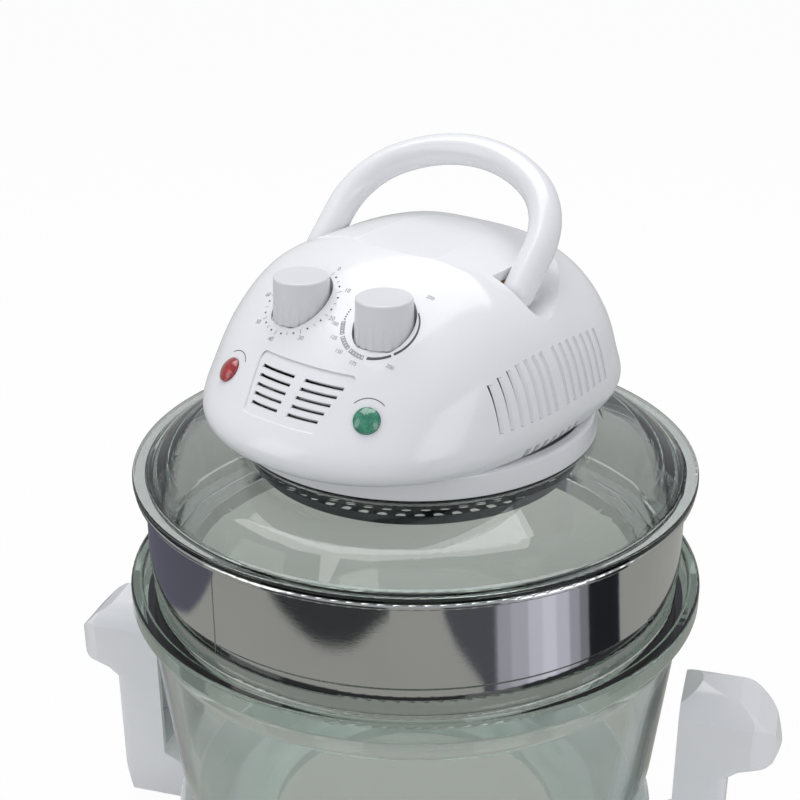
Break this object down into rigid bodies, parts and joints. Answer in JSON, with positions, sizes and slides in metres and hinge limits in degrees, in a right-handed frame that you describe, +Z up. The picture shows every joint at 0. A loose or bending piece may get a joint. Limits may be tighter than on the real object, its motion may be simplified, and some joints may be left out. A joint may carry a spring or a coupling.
{
  "type": "countertop convection oven",
  "caption": "Glass bowl oven in a white stand, with a steel extender ring and a glass lid that carries a motor head with dials, lamps, vents and a swinging handle.",
  "frame": {"origin": "on the bench, under the bowl's axis", "axes": "+Z up, +X through the stand's two grips, -Y to the side that the picture shows"},
  "size_m": [0.454, 0.3416, 0.4529],
  "materials": {
    "white_plastic": "gloss white moulded plastic",
    "knob_plastic": "gloss white with fluted sides",
    "glass": "clear tempered glass with a green edge",
    "steel": "brushed round the band",
    "bright_metal": "plain bright metal",
    "aluminium": "bright pressed sheet",
    "dark_metal": "heat-proof dark coating",
    "red_lens": "clear red",
    "green_lens": "clear green",
    "rubber": "matt",
    "silicone": "matt",
    "brass": "turned",
    "black_plastic": "matt",
    "laminations": "stacked sheets under varnish",
    "winding": "varnished wire under tape"
  },
  "bodies": {
    "base": {"base_stand": "white_plastic", "base_feet": "rubber"},
    "bowl": {"glass_bowl": "glass"},
    "ring": {"extender_ring": "steel"},
    "handle": {"carry_handle": "white_plastic", "handle_pins": "bright_metal", "switch_cam": "black_plastic"},
    "timer_control": {"timer_knob": "knob_plastic", "timer_shaft": "bright_metal"},
    "thermostat_control": {"thermostat_knob": "knob_plastic", "thermostat_shaft": "bright_metal"},
    "fan_rotor": {"motor_rotor": "aluminium", "motor_shaft": "bright_metal", "cooling_fan": "black_plastic", "oven_fan": "aluminium", "fan_nut": "bright_metal"},
    "lid_head": {"glass_lid": "glass", "lid_gasket": "silicone", "clamp_ring": "bright_metal", "clamp_screws": "bright_metal", "lower_housing": "white_plastic", "upper_housing": "white_plastic", "housing_screws": "bright_metal", "red_lens": "red_lens", "green_lens": "green_lens", "indicator_lamps": "bright_metal", "timer": "black_plastic", "timer_bell": "bright_metal", "thermostat": "black_plastic", "thermostat_bulb": "bright_metal", "handle_bushes": "brass", "safety_switch": "black_plastic", "motor_stator": "laminations", "motor_coil": "winding", "lower_bracket": "bright_metal", "upper_bracket": "bright_metal", "motor_bearings": "brass", "motor_posts": "bright_metal", "reflector_pan": "aluminium", "heating_element": "dark_metal", "element_bushes": "silicone", "element_clips": "bright_metal", "element_guard": "dark_metal", "guard_standoffs": "bright_metal", "terminal_block": "black_plastic", "cord_gland": "black_plastic"}
  },
  "joints": [
    {"name": "bowl_lift", "type": "slide", "parent": "base", "child": "bowl", "axis": [0, 0, 1], "range_m": [0, 0.2]},
    {"name": "ring_lift", "type": "slide", "parent": "bowl", "child": "ring", "axis": [0, 0, 1], "range_m": [0, 0.12]},
    {"name": "lid_lift", "type": "slide", "parent": "ring", "child": "lid_head", "axis": [0, 0, 1], "range_m": [0, 0.15]},
    {"name": "handle_swing", "type": "hinge", "parent": "lid_head", "child": "handle", "pos_m": [0, 0, 0.389], "axis": [-0.9336, 0.3584, 0], "range_deg": [-46, 22]},
    {"name": "timer_turn", "type": "hinge", "parent": "lid_head", "child": "timer_control", "pos_m": [-0.04943, -0.05065, 0.3735], "axis": [0, 0, -1], "range_deg": [0, 300]},
    {"name": "thermostat_turn", "type": "hinge", "parent": "lid_head", "child": "thermostat_control", "pos_m": [0.00285, -0.07072, 0.3735], "axis": [0, 0, -1], "range_deg": [0, 270]},
    {"name": "fan_spin", "type": "hinge", "parent": "lid_head", "child": "fan_rotor", "pos_m": [0, 0, 0.375], "axis": [0, 0, 1], "continuous": true}
  ]
}
